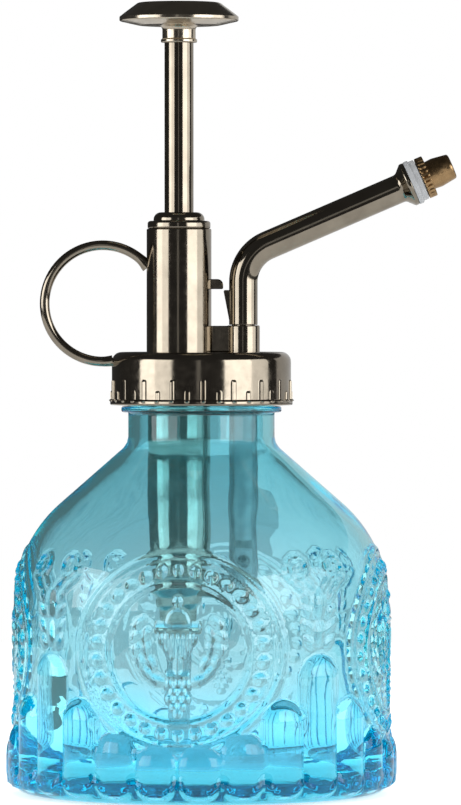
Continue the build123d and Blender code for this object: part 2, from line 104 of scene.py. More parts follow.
def respaced(line, spacing):
    """The line with rows set so that the step at each place is about spacing(x, y): equal shares of
    the integral of 1 / spacing along it."""
    steps = np.linalg.norm(np.diff(line, axis=0), axis=1)
    length = np.concatenate([[0], np.cumsum(steps)])
    fine = np.linspace(0, length[-1], FINE_STEPS)
    x = np.interp(fine, length, line[:, 0])
    y = np.interp(fine, length, line[:, 1])
    count = np.concatenate([[0], np.cumsum(np.diff(fine) / spacing(x, y)[1:])])
    wanted = np.linspace(0, count[-1], int(round(count[-1])) + 1)
    return np.column_stack([np.interp(wanted, count, x), np.interp(wanted, count, y)])


def skin(grid, loop=False, first=None, last=None):
    """Vertices and faces of a grid of rows whose columns close on themselves. loop joins the last row
    to the first one; first and last are points that close an open end with a fan."""
    rows, columns = grid.shape[:2]
    index = np.arange(rows * columns).reshape(rows, columns)
    beside = np.roll(index, -1, axis=1)
    keep = rows if loop else rows - 1
    over = np.roll(index, -1, axis=0)[:keep]
    over_beside = np.roll(beside, -1, axis=0)[:keep]
    quads = np.stack([index[:keep], beside[:keep], over_beside, over], -1).reshape(-1, 4)
    vertices = [grid.reshape(-1, 3)]
    fans = np.zeros((0, 3), int)
    if first is not None:
        pole = np.full(columns, len(vertices[0]))
        fans = np.concatenate([fans, np.stack([pole, beside[0], index[0]], -1)])
        vertices.append(np.array([first], float))
    if last is not None:
        pole = np.full(columns, sum(len(v) for v in vertices))
        fans = np.concatenate([fans, np.stack([pole, index[-1], beside[-1]], -1)])
        vertices.append(np.array([last], float))
    return np.concatenate(vertices), quads, fans


def lathe(line, angles, x=0.0, proud=None):
    """Surface of revolution of (radius, height) rows about the upright axis at x: each point is
    (x + r cos a, r sin a, z). proud(angle, height, radius) is added to the radius. A line that starts
    or ends on the axis is closed there by a pole, and any other line is closed on itself."""
    poles = [line[0, 0] == 0, line[-1, 0] == 0]
    rows = line[int(poles[0]):len(line) - int(poles[1])]
    turn, height = np.meshgrid(angles, rows[:, 1])
    radius = np.repeat(rows[:, :1], len(angles), axis=1)
    if proud is not None:
        radius = radius + proud(turn, height, radius)
    grid = np.stack([x + radius * np.cos(turn), radius * np.sin(turn), height], -1)
    first = (x, 0, line[0, 1]) if poles[0] else None
    last = (x, 0, line[-1, 1]) if poles[1] else None
    return skin(grid, not any(poles), first, last)


def circle(columns):
    """Equal angles once round, in radians."""
    return np.arange(columns) * TAU / columns


def sweep(centres, ahead, radii, columns, loop=False):
    """Round tube in the plane y = 0: at each row a circle of its radius, square to the row's
    direction, drawn with the direction's upright partner and the y axis."""
    turn = circle(columns)[None, :, None]
    side = np.stack([-ahead[:, 2], np.zeros(len(ahead)), ahead[:, 0]], -1)[:, None]
    depth = np.array([0.0, 1.0, 0.0])
    grid = centres[:, None] + radii[:, None, None] * (np.cos(turn) * side + np.sin(turn) * depth)
    if loop:
        return skin(grid, True)
    return skin(grid, False, centres[0], centres[-1])


def plate(outline, half_depth, bevel):
    """Flat plate in the x-z plane: its outline, set in by the bevel towards its middle on both faces,
    repeated at four depths and closed by a fan on each face."""
    middle = outline.mean(axis=0)
    reach = np.linalg.norm(outline - middle, axis=1, keepdims=True)
    inner = middle + (outline - middle) * (1 - bevel / reach)
    depths = np.array([-half_depth, bevel - half_depth, half_depth - bevel, half_depth])
    lines = np.stack([inner, outline, outline, inner])
    grid = np.stack([lines[..., 0], np.repeat(depths[:, None], len(outline), 1), lines[..., 1]], -1)
    return skin(grid, False, (middle[0], -half_depth, middle[1]), (middle[0], half_depth, middle[1]))


def placed(part, origin, axis):
    """A part turned so that its upright axis lies along axis, and moved to origin."""
    vertices, quads, fans = part
    z = unit(np.array(axis, float))
    x = np.array([0.0, 1.0, 0.0])
    y = np.cross(z, x)
    moved = origin + vertices @ np.stack([x, y, z])
    return moved, quads, fans


def outward(part):
    """The part with its faces turned so that its volume counts as positive."""
    vertices, quads, fans = part
    triangles = np.concatenate([quads[:, [0, 1, 2]], quads[:, [0, 2, 3]], fans])
    a, b, c = (vertices[triangles[:, i]] for i in range(3))
    if np.einsum("ij,ij->i", a, np.cross(b, c)).sum() < 0:
        return vertices, quads[:, ::-1], fans[:, ::-1]
    return part


def piece(name, parts, material, body, replaced, crease=35.0):
    """Object made of closed parts given in millimetres, smooth except over creases."""
    parts = [outward(part) for part in parts]
    starts = np.cumsum([0] + [len(part[0]) for part in parts])
    vertices = np.concatenate([part[0] for part in parts]) * MM
    quads = np.concatenate([part[1] + start for part, start in zip(parts, starts)])
    fans = np.concatenate([part[2] + start for part, start in zip(parts, starts)])
    corners = np.concatenate([quads.ravel(), fans.ravel()])
    sizes = np.concatenate([np.full(len(quads), 4), np.full(len(fans), 3)])
    mesh = bpy.data.meshes.new(name)
    mesh.vertices.add(len(vertices))
    mesh.vertices.foreach_set("co", vertices.astype(np.float32).ravel())
    mesh.loops.add(len(corners))
    mesh.loops.foreach_set("vertex_index", corners.astype(np.int32))
    mesh.polygons.add(len(sizes))
    mesh.polygons.foreach_set("loop_start", (np.cumsum(sizes) - sizes).astype(np.int32))
    mesh.update(calc_edges=True)
    mesh.validate()
    mesh.shade_smooth()
    mesh.set_sharp_from_angle(angle=radians(crease))
    mesh.materials.append(material)
    made = bpy.data.objects.new(name, mesh)
    bpy.context.scene.collection.objects.link(made)
    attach(made, body)
    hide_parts(replaced)
    return made


# Materials ----------------------------------------------------------------------------------------

# The part of a noise's range that a finish spreads over
CLOUD_LOW = 0.3
CLOUD_HIGH = 0.7
# Heights of the surfaces' unevenness, in metres
METAL_RELIEF = 0.000006
PLASTIC_RELIEF = 0.00003
GLASS_RELIEF = 0.00025
PLASTIC_IOR = 1.46
GLASS_IOR = 1.5
# Height up to which the glass's tint runs, in metres
TINT_REACH = 0.09


def start_material(name):
    """New material, its node tree and its shader."""
    material = bpy.data.materials.new(name + "_finish")
    material.use_nodes = True
    tree = material.node_tree
    return material, tree, tree.nodes["Principled BSDF"]


def noise(tree, scale, detail):
    """Noise over the object's own coordinates."""
    place = tree.nodes.new("ShaderNodeTexCoord")
    texture = tree.nodes.new("ShaderNodeTexNoise")
    texture.inputs["Scale"].default_value = scale
    texture.inputs["Detail"].default_value = detail
    tree.links.new(place.outputs["Object"], texture.inputs["Vector"])
    return texture.outputs["Fac"]


def ramp(tree, source, stops):
    """Colour ramp over (position, colour) stops."""
    node = tree.nodes.new("ShaderNodeValToRGB")
    elements = node.color_ramp.elements
    while len(elements) < len(stops):
        elements.new(0.5)
    for element, (position, colour) in zip(elements, stops):
        element.position = position
        element.color = (*colour, 1)
    tree.links.new(source, node.inputs["Fac"])
    return node.outputs["Color"]


def remap(tree, source, low, high, new_low, new_high):
    """The source's range from low to high, moved to the new range."""
    node = tree.nodes.new("ShaderNodeMapRange")
    ends = {"From Min": low, "From Max": high, "To Min": new_low, "To Max": new_high}
    for key, value in ends.items():
        node.inputs[key].default_value = value
    tree.links.new(source, node.inputs["Value"])
    return node.outputs["Result"]


def bump(tree, shader, source, strength, distance):
    """The shader's normals tipped by the source as a height of distance metres."""
    node = tree.nodes.new("ShaderNodeBump")
    node.inputs["Strength"].default_value = strength
    node.inputs["Distance"].default_value = distance
    tree.links.new(source, node.inputs["Height"])
    tree.links.new(node.outputs["Normal"], shader.inputs["Normal"])


def shade(colour, factor):
    """The colour times a factor, no channel over 1."""
    return tuple(min(1.0, channel * factor) for channel in colour)


def cloud_colour(tree, shader, clouds, colour, spread):
    """Base colour that wanders by the share spread to both sides of colour, along the clouds."""
    stops = [(CLOUD_LOW, shade(colour, 1 - spread)), (CLOUD_HIGH, shade(colour, 1 + spread))]
    tree.links.new(ramp(tree, clouds, stops), shader.inputs["Base Color"])


def cloud_roughness(tree, shader, clouds, low, high):
    """Roughness from low to high along the clouds."""
    rough = remap(tree, clouds, CLOUD_LOW, CLOUD_HIGH, low, high)
    tree.links.new(rough, shader.inputs["Roughness"])


def metal(name, colour, roughness, grain=250.0, spread=0.12):
    """Plated metal: tone and roughness wander a little, and the surface is not quite flat."""
    material, tree, shader = start_material(name)
    shader.inputs["Metallic"].default_value = 1
    cloud_colour(tree, shader, noise(tree, grain, 4), colour, spread)
    cloud_roughness(tree, shader, noise(tree, grain * 2.5, 3), roughness * 0.7, roughness * 1.4)
    bump(tree, shader, noise(tree, grain * 0.6, 2), 0.5, METAL_RELIEF)
    return material


def plastic(name, colour, roughness, grain=400.0, spread=0.12, through=0.0):
    """Moulded plastic or rubber with a slight cloud of tone; through is how much light passes."""
    material, tree, shader = start_material(name)
    clouds = noise(tree, grain, 3)
    cloud_colour(tree, shader, clouds, colour, spread)
    cloud_roughness(tree, shader, clouds, roughness * 0.85, roughness * 1.15)
    shader.inputs["Transmission Weight"].default_value = through
    shader.inputs["IOR"].default_value = PLASTIC_IOR
    bump(tree, shader, noise(tree, grain * 2, 2), 0.3, PLASTIC_RELIEF)
    return material


def glass(looks):
    """Tinted pressed glass: its tint runs from the heel to the neck, lighter at the heel as painted
    light and darker at the shoulder as painted shade. The body absorbs light on its way through,
    and the surface has the slight unevenness of a mould."""
    material, tree, shader = start_material("blue_glass")
    place = tree.nodes.new("ShaderNodeTexCoord")
    split = tree.nodes.new("ShaderNodeSeparateXYZ")
    tree.links.new(place.outputs["Object"], split.inputs["Vector"])
    height = remap(tree, split.outputs["Z"], 0, TINT_REACH, 0, 1)
    # The tint paints light and shade. It is lighter at the heel as painted light where the floor under the
    # bottle is in shade, and darker at the shoulder as painted shade from the dark pieces behind it. The
    # middle tint is the glass's own colour.
    tints = ramp(tree, height, [
        (0.0, looks.heel_tint_and_painted_light), (0.09, looks.heel_tint_and_painted_light), (0.27, looks.middle_tint),
        (0.52, looks.middle_tint), (0.80, looks.shoulder_tint_and_painted_shade)])
    tree.links.new(tints, shader.inputs["Base Color"])
    shader.inputs["Roughness"].default_value = 0.0
    shader.inputs["IOR"].default_value = GLASS_IOR
    shader.inputs["Transmission Weight"].default_value = 1
    bump(tree, shader, noise(tree, 70, 2), 0.35, GLASS_RELIEF)
    absorb = tree.nodes.new("ShaderNodeVolumeAbsorption")
    absorb.inputs["Color"].default_value = (*looks.glass_body, 1)
    absorb.inputs["Density"].default_value = looks.glass_density
    tree.links.new(absorb.outputs["Volume"], tree.nodes["Material Output"].inputs["Volume"])
    return material


# Bottle -------------------------------------------------------------------------------------------

# Millimetres and degrees
BODY_R = 39.3
WALL = 2.6
PUSH_UP = 0.8
FLOOR_Z = 3.6
CONE_PITCH = radians(41.2)
CONE_FOOT_Z = 52.2
NECK_R = 15.35
BORE_R = 13.0
RIM_Z = 89.0
COLLAR_R = 16.8
COLLAR_FOOT_Z = 79.8
COLLAR_TOP_Z = 81.0
MEDALLION_AZIMUTH = 263.2
MEDALLION_Z = 31.3
FLUTES = 28
FLUTE_TOPS = np.array([12.2, 14.6, 21.2, 30.3])
FLUTE_DOME = 4.4
FLUTE_FOOT_Z = 5.0
FLUTE_FOOT_REACH = 4.2
LEAD = 3.2
THREAD_FOOT_Z = 83.2
THREAD_TURNS = 1.25
THREAD_PROUD = 1.15
OUTER_COLUMNS = 504
INNER_COLUMNS = OUTER_COLUMNS // 6


def cone_height(radius, outset=0.0):
    """Height of the shoulder's cone at a radius, the cone moved outwards by outset."""
    return CONE_FOOT_Z + (BODY_R - radius) * np.tan(CONE_PITCH) + outset / np.cos(CONE_PITCH)


def hump(distance, half_width):
    """Rounded ridge: 1 on its line, falling as a parabola to 0 at half_width from it."""
    return np.clip(1 - (distance / half_width) ** 2, 0, 1)


def ease(value, low, high):
    """Smooth step from 0 at low to 1 at high."""
    share = np.clip((value - low) / (high - low), 0, 1)
    return share * share * (3 - 2 * share)


def ellipse(u, v, centre, halves, tilt=0.0):
    """Dome over an ellipse with the given half sizes, its long side turned by tilt degrees."""
    cosine, sine = np.cos(radians(tilt)), np.sin(radians(tilt))
    along = (u - centre[0]) * cosine + (v - centre[1]) * sine
    across = (v - centre[1]) * cosine - (u - centre[0]) * sine
    return np.sqrt(np.clip(1 - (along / halves[0]) ** 2 - (across / halves[1]) ** 2, 0, 1))


def flute_relief(angle, z, depth):
    """Row of upright convex flutes round the heel. Across a flute the height is a half ellipse, and
    it rounds off to nothing at the flute's top, which climbs from a medallion's middle to its side."""
    pitch = 360 / FLUTES
    n = np.abs(angle) / pitch
    which = np.clip(np.floor(n).astype(int), 0, 3)
    across = (n - which - 0.5) * 2
    top = FLUTE_TOPS[which]
    over = np.clip(z - (top - FLUTE_DOME), 0, None) / FLUTE_DOME
    under = np.clip(FLUTE_FOOT_Z - z, 0, None) / FLUTE_FOOT_REACH
    return depth * np.sqrt(np.clip(1 - (0.97 * across) ** 2 - over ** 2 - under ** 2, 0, 1))


def urn_relief(u, v):
    """Lidded urn on a foot over a bunch of beads, between two leafy sprays: at each place the
    highest of a set of domes and ridges, the same on both sides of u = 0."""
    s = np.abs(u)
    height = 0.9 * ellipse(u, v, (0, 10.4), (0.95, 1.0))
    height = np.maximum(height, 0.8 * ellipse(u, v, (0, 6.2), (2.5, 2.9)) * (v > 6.0))
    height = np.maximum(height, 0.9 * hump(v - 5.2, 0.75) * (s < 4.4))
    height = np.maximum(height, 0.6 * hump(v - 4.0, 0.7) * (s < 2.6))
    bowl = 2.0 + 2.0 * ease(v, -0.8, 3.4)
    ribs = 0.6 + 0.4 * np.cos(TAU * u / 1.15)
    height = np.maximum(height, 0.95 * ribs * np.sqrt(hump(s, bowl)) * (v > -1.0) * (v < 3.7))
    height = np.maximum(height, 0.7 * hump(s, 0.9) * (v > -4.4) * (v < -0.8))
    height = np.maximum(height, 0.8 * hump(v + 4.7, 0.75) * (s < 2.4))
    rows = ((-6.4, (0.0, 1.7)), (-7.9, (0.85,)), (-9.4, (0.0, 1.6)), (-10.9, (0.75,)), (-12.2, (0.0,)))
    for row_v, places in rows:
        for place in places:
            height = np.maximum(height, 0.8 * ellipse(s, v, (place, row_v), (0.85, 0.85)))
    leaves = ((4.4, -5.6, 20), (6.3, -4.2, 50), (7.7, -2.0, 75), (8.6, 0.6, 95), (8.7, 3.4, 115),
              (7.9, 6.0, 135), (5.6, -2.0, 60), (6.4, 0.8, 85), (6.6, 3.6, 105))
    for leaf_u, leaf_v, tilt in leaves:
        height = np.maximum(height, 0.75 * ellipse(s, v, (leaf_u, leaf_v), (1.7, 0.75), tilt))
    return height


def medallion_relief(angle, z, looks):
    """Round frame of two thin ridges, a ring of beads and an inner ridge, with an urn inside it. A
    ridge is a hump on the distance from the middle, and the beads are domes every 12 degrees."""
    u = BODY_R * np.sin(np.radians(angle))
    v = z - MEDALLION_Z
    reach = 20.7 * np.hypot(u / 21.0, v / 20.4)
    ridge = looks.ridge_proud / MM
    height = ridge * hump(reach - 20.5, 0.8)
    height = np.maximum(height, 0.7 * ridge * hump(reach - 18.95, 0.6))
    step = 12.0
    turn = np.degrees(np.arctan2(v, u))
    off = np.radians((turn - 6.0 + step / 2) % step - step / 2) * reach
    bead = np.sqrt(np.clip(1 - (np.hypot(reach - 17.1, off) / 1.1) ** 2, 0, 1))
    height = np.maximum(height, looks.bead_proud / MM * bead)
    height = np.maximum(height, 0.85 * ridge * hump(reach - 14.9, 0.7))
    inside = reach < 13.9
    return np.where(inside, looks.emblem_proud / MM * urn_relief(u, v), height)


def scroll_relief(gap, z):
    """Ornament between two medallions: a pair of spirals over a pointed drop, with slanted leaves.
    A spiral's ridge lies where its radius less its turn is a whole number of windings."""
    g = BODY_R * np.sin(np.radians(gap))
    s = np.abs(g)
    du = s - 4.6
    dv = z - 48.4
    reach = np.hypot(du, dv)
    coil = (reach / 1.45 - np.arctan2(dv, -du) / TAU) % 1
    height = 0.55 * hump(coil - 0.5, 0.42) * (reach < 2.9)
    height = np.maximum(height, 0.5 * ellipse(s, z, (2.4, 45.4), (2.6, 0.6), 48))
    height = np.maximum(height, 0.7 * ellipse(g, z, (0, 41.0), (1.5, 3.2)))
    height = np.maximum(height, 0.6 * ellipse(g, z, (0, 35.0), (1.1, 2.6)))
    leaves = ((3.4, 42.6, 60), (3.0, 39.4, 55), (2.9, 36.2, 55), (2.6, 33.2, 60), (5.0, 44.6, 40),
              (6.6, 46.0, 25))
    for leaf_s, leaf_z, tilt in leaves:
        height = np.maximum(height, 0.5 * ellipse(s, z, (leaf_s, leaf_z), (1.7, 0.65), tilt))
    return height


def thread_relief(turn, z):
    """Right-handed ridge of one and a quarter turns that climbs one lead a turn round the neck."""
    height = np.zeros_like(z)
    for lap in range(2):
        turns = turn / TAU + lap
        off = np.abs(z - (THREAD_FOOT_Z + LEAD * turns))
        ends = ease(turns, 0, 0.06) * ease(THREAD_TURNS - turns, 0, 0.06)
        height = np.maximum(height, THREAD_PROUD * ends * np.clip((1.1 - off) / 0.6, 0, 1))
    return height


def bottle_outer_line():
    """Rows of the bottle's outside, from the push-up's middle to the rim's inner edge, with the
    finest steps where the pressed pattern is."""
    line = rounded([
        (0, PUSH_UP, 0), (26, PUSH_UP, 0), (28, 0, 0), (BODY_R, 0, 3.1),
        (BODY_R, cone_height(BODY_R), 28), (NECK_R, cone_height(NECK_R), 3.5),
        (NECK_R, COLLAR_FOOT_Z, 0), (COLLAR_R, COLLAR_FOOT_Z, 0.4), (COLLAR_R, COLLAR_TOP_Z, 0.4),
        (NECK_R, COLLAR_TOP_Z, 0),
        (NECK_R, RIM_Z, 0.6), (BORE_R, RIM_Z, 0)], 24)

    def spacing(r, z):
        step = np.interp(z, [0, 1, 9, 10, 51.5, 53, 55, 72, 79, 79.6, 81.2, 81.8, 87.5, 88.2, 89],
                         [0.8, 0.55, 0.5, 0.5, 0.5, 0.7, 1.4, 1.4, 1.0, 0.3, 0.3, 0.55, 0.55, 0.3, 0.3])
        return np.where((z < 0.9) & (r < 36), 3.5, step)

    return respaced(line, spacing)


def bottle_inner_line():
    """Rows of the bottle's inside, from the floor's middle to just below the rim."""
    inner = BODY_R - WALL
    line = rounded([
        (0, FLOOR_Z, 0), (inner, FLOOR_Z, 9), (inner, cone_height(inner, -WALL), 25.4),
        (BORE_R, cone_height(BORE_R, -WALL), 6.1), (BORE_R, RIM_Z - 0.6, 0)], 16)
    return respaced(line, lambda r, z: np.where(r < 28, np.where(z < 8, 4.0, 2.4), 1.7))


def medallion_circle(columns):
    """Angles all the way round, set closer over the middle of each medallion than between them."""
    fine = np.linspace(0, 360, 36001)
    off = (fine + 45) % 90 - 45
    count = np.concatenate([[0], np.cumsum(1 + 1.3 * np.exp(-(off[1:] / 10) ** 4))])
    wanted = np.arange(columns) * count[-1] / columns
    return np.radians(np.interp(wanted, count, fine) + MEDALLION_AZIMUTH)


def bottle_part(looks):
    """Outside and inside of the bottle as one closed skin. The outside's radius is the profile's
    plus the relief; the inside ripples slightly; six outer columns meet each inner one at the rim."""
    turns = medallion_circle(OUTER_COLUMNS)
    rng = np.random.default_rng(7)

    def outside(turn, z, radius):
        degrees = np.degrees(turn)
        angle = (degrees - MEDALLION_AZIMUTH + 45) % 90 - 45
        gap = (degrees - MEDALLION_AZIMUTH) % 90 - 45
        height = flute_relief(angle, z, looks.flute_proud / MM)
        medal = medallion_relief(angle, z, looks)
        height = np.maximum(np.maximum(height, medal), scroll_relief(gap, z))
        side = ((degrees - MEDALLION_AZIMUTH + 45) // 90) % 2 == 1
        ground = side & (np.abs(angle) < 19) & (z > 18) & (z < 45) & (medal < 0.05)
        height = height + np.where(ground, rng.uniform(-0.1, 0.12, z.shape), 0)
        on_body = (z > 0.9) & (z < 79)
        bulge = 0.5 * np.exp(-((z - 3.0) / 2.0) ** 2) * (1 + 0.1 * np.sin(9 * turn))
        bulge = bulge * (z > 0.05) * (radius > 36)
        pressed = np.maximum(height, 0) * ease(z, 0.9, 2.0) + bulge * (height < 1.2)
        relief = np.where(on_body, pressed, bulge)
        return relief + np.where(z > 81.3, thread_relief(turn, z), 0)

    def inside(turn, z, radius):
        wave = np.sin(5 * turn + z / 6) + np.sin(3 * turn - z / 4) + np.sin(11 * turn + z / 2.5) * 0.5
        return 0.07 * wave * ease(z, 6, 12) * (1 - ease(z, 60, 70))

    outer = lathe(bottle_outer_line(), turns, proud=outside)
    inner_rows = bottle_inner_line()
    inner = lathe(np.concatenate([inner_rows, [[0, RIM_Z]]]), turns[::6], proud=inside)
    outer_grid = outer[0][:-1].reshape(-1, OUTER_COLUMNS, 3)
    inner_grid = inner[0][:-2].reshape(-1, INNER_COLUMNS, 3)
    first, first_quads, first_fans = skin(outer_grid, False, (0, 0, PUSH_UP))
    second, second_quads, second_fans = skin(inner_grid, False, (0, 0, FLOOR_Z))
    start = len(first)
    rim = (len(outer_grid) - 1) * OUTER_COLUMNS + np.arange(OUTER_COLUMNS)
    bore = start + (len(inner_grid) - 1) * INNER_COLUMNS + np.arange(INNER_COLUMNS)
    near = bore[((np.arange(OUTER_COLUMNS) + 3) // 6) % INNER_COLUMNS]
    stitches = np.stack([rim, np.roll(rim, -1), near], -1)
    middle = rim[3::6]
    joins = np.stack([np.roll(bore, -1), bore, middle], -1)
    vertices = np.concatenate([first, second])
    quads = np.concatenate([first_quads, second_quads[:, ::-1] + start])
    fans = np.concatenate([first_fans, second_fans[:, ::-1] + start, stitches, joins])
    return vertices, quads, fans


# Properties ---------------------------------------------------------------------------------------


def colour_property(name, description, default):
    """A colour that a user can change."""
    return bpy.props.FloatVectorProperty(
        name=name, description=description, subtype="COLOR", size=3, min=0, max=1, default=default)


def length_property(name, description, default):
    """A length in metres that a user can change."""
    return bpy.props.FloatProperty(name=name, description=description, unit="LENGTH", default=default)


class MisterLooks(bpy.types.PropertyGroup):
    flute_proud: length_property("Flute height", "How far the heel's flutes stand proud", 0.00175)
    ridge_proud: length_property("Ridge height", "How far a medallion's ridges stand proud", 0.0004)
    bead_proud: length_property("Bead height", "How far a medallion's beads stand proud", 0.0007)
    emblem_proud: length_property("Emblem height", "How far a medallion's urn stands proud", 0.0007)
    # The heel tint is the glass's colour made lighter as painted light.
    heel_tint_and_painted_light: colour_property("Heel tint", "Tint of the glass at the heel", (0.54, 0.84, 0.97))
    middle_tint: colour_property("Middle tint", "Tint of the glass halfway up", (0.64, 0.715, 0.755))
    # The shoulder tint is the glass's colour made darker as painted shade.
    shoulder_tint_and_painted_shade: colour_property("Shoulder tint", "Tint of the glass at the shoulder", (0.45, 0.63, 0.675))
    glass_body: colour_property("Glass body", "Colour that the glass lets through", (0.0, 0.93, 0.98))
    glass_density: bpy.props.FloatProperty(
        name="Glass density", description="How strongly the glass absorbs, per metre", default=105.0)
    plating: colour_property("Plating", "Tone of the dark bronze plating", (0.32, 0.28, 0.222))
    brass: colour_property("Brass", "Tone of the nozzle's brass", (0.40, 0.26, 0.13))
    plating_roughness: bpy.props.FloatProperty(
        name="Plating roughness", description="Roughness of the plating", default=0.12)


class MisterStage(bpy.types.PropertyGroup):
    lens: bpy.props.FloatProperty(
        name="Lens", description="Focal length in millimetres", default=277.0, subtype="DISTANCE_CAMERA")
    light_level: bpy.props.FloatProperty(
        name="Light level", description="Brightness of all the light panels", default=1.0)
    floor_tone: colour_property("Floor tone", "Colour of the floor", (0.84, 0.84, 0.84))
    floor_reach: length_property("Floor reach", "Radius of the floor", 0.6)
    floor_glow: bpy.props.FloatProperty(
        name="Floor glow", description="Brightness of the light table under the floor", default=0.57)
    backdrop: bpy.props.FloatProperty(
        name="Backdrop", description="Brightness of the white backdrop", default=1.0)
    reflected: bpy.props.FloatProperty(
        name="Reflected surroundings", description="Brightness of what polished pieces reflect", default=0.04)
    reflected_in_glass: bpy.props.FloatProperty(
        name="Reflected in glass", description="Brightness of what the glass reflects within itself",
        default=0.30)
    ambient: bpy.props.FloatProperty(
        name="Ambient", description="Brightness of the surroundings' soft light", default=1.1)
    reflected_ambient: bpy.props.FloatProperty(
        name="Reflected ambient", description="Soft light on matt surfaces seen in a reflection",
        default=0.05)


# Light panels: bearing from the camera's side and width, in degrees, and radiance
PANELS = (
    (-73.5, 23, 3.4), (-50, 24, 2.4), (49, 38, 3.4), (81.5, 27, 1.8), (-3.5, 5, 0.3), (145, 64, 0.55))
# Metres
PANEL_DISTANCE = 1.2
PANEL_HEIGHT = 0.6
PANEL_LIFT = 0.02
FLOOR_DROP = 0.0003
CAMERA_PLACE = (0.0061, -1.3, 0.100)
CAMERA_AIM = (0.0061, 0, 0.0818)
# Most bounces of light, for the many walls of glass
BOUNCES = 32

# Heights and radii that neighbouring pieces of the pump share, in millimetres
CAP_TOP_Z = 92.4
CAP_PLATE_Z = 90.9
CAP_BORE_R = 16.85
CAP_R = 18.8
CAP_FOOT_Z = 81.3
CAP_HOLE_R = 5.6
BARREL_R = 6.8
BARREL_TOP_Z = 118.3
SOCKET_TOP_Z = 98.0
ROD_R = 3.05
KNOB_FOOT_Z = 157.3
RING_R = 12.2


# Operators ----------------------------------------------------------------------------------------


def barrel_x():
    """The barrel's axis, in millimetres."""
    low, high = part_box("plunger_rod")
    return (low.x + high.x) / 2 / MM


def spout_x():
    """The upright part of the spout's axis, in millimetres."""
    low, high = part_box("riser_tube")
    return (low.x + high.x) / 2 / MM


def nozzle_place():
    """Point on the nozzle's axis at its foot, in millimetres, and the axis."""
    joint = next(j for j in frame["joints"] if j["name"] == "nozzle_turn")
    return np.array(joint["pos_m"]) / MM, np.array(joint["axis"])


class MISTER_OT_bottle(bpy.types.Operator):
    """Build the pressed glass bottle"""
    bl_idname = "mister.bottle"
    bl_label = "Bottle"

    def execute(self, context):
        looks = context.scene.mister_looks
        piece("glass_bottle_skin", [bottle_part(looks)], glass(looks),
              "bottle", "glass_bottle", 50)
        return {"FINISHED"}


class MISTER_OT_cap(bpy.types.Operator):
    """Build the ribbed screw cap"""
    bl_idname = "mister.cap"
    bl_label = "Screw cap"

    def execute(self, context):
        looks = context.scene.mister_looks
        rib_count = 36
        pitch = 360 / rib_count
        first = 271.3
        offsets = np.array([-4.1, -2.5, -1.75, -1.3, -0.9, -0.3, 0.3, 0.9, 1.3, 1.75, 2.5, 4.1])
        angles = np.radians((first + pitch * np.arange(rib_count)[:, None] + offsets).ravel())

        def ribs(turn, z, radius):
            """Grip ribs, by turns tall and short, each with rounded sides and a rounded top."""
            place = (np.degrees(turn) - first) / pitch
            nearest = np.round(place)
            off = np.abs(place - nearest) * pitch
            top = np.where(nearest % 2 == 0, 86.7, 84.4)
            across = 1 - ease(off, 0.85, 1.45)
            upward = (1 - ease(z, top - 0.45, top + 0.05)) * ease(z, 82.0, 82.3)
            return np.where(radius > 18.5, 0.33 * across * upward * (z > 81.9), 0)

        line = rounded([
            (7.0, CAP_PLATE_Z, 0), (CAP_BORE_R, CAP_PLATE_Z, 0), (CAP_BORE_R, CAP_FOOT_Z, 0),
            (19.15, CAP_FOOT_Z, 0.3), (19.15, 82.3, 0.25), (CAP_R, 82.5, 0), (CAP_R, CAP_TOP_Z, 2.0),
            (7.0, CAP_TOP_Z, 0), (CAP_HOLE_R, CAP_TOP_Z, 0), (CAP_HOLE_R, CAP_PLATE_Z, 0),
            (7.0, CAP_PLATE_Z, 0)], 8)[:-1]

        def spacing(r, z):
            grip = (r > 18.4) & (z < 87.2)
            plate_step = np.where(r < 7.2, 0.35, 2.0)
            return np.where(r < 16.5, plate_step, np.where(grip, 0.16, np.where(z > 90, 0.35, 0.9)))

        cap = lathe(respaced(line, spacing), angles, proud=ribs)
        # The hole is moved under the barrel, and the plate round it follows less and less
        vertices = cap[0]
        distance = np.hypot(vertices[:, 0], vertices[:, 1])
        vertices[:, 0] += barrel_x() * (1 - ease(distance, CAP_HOLE_R, 16.0))
        material = metal("cap_plating", looks.plating, looks.plating_roughness)
        piece("screw_cap_skin", [cap], material, "head", "screw_cap", 50)
        return {"FINISHED"}


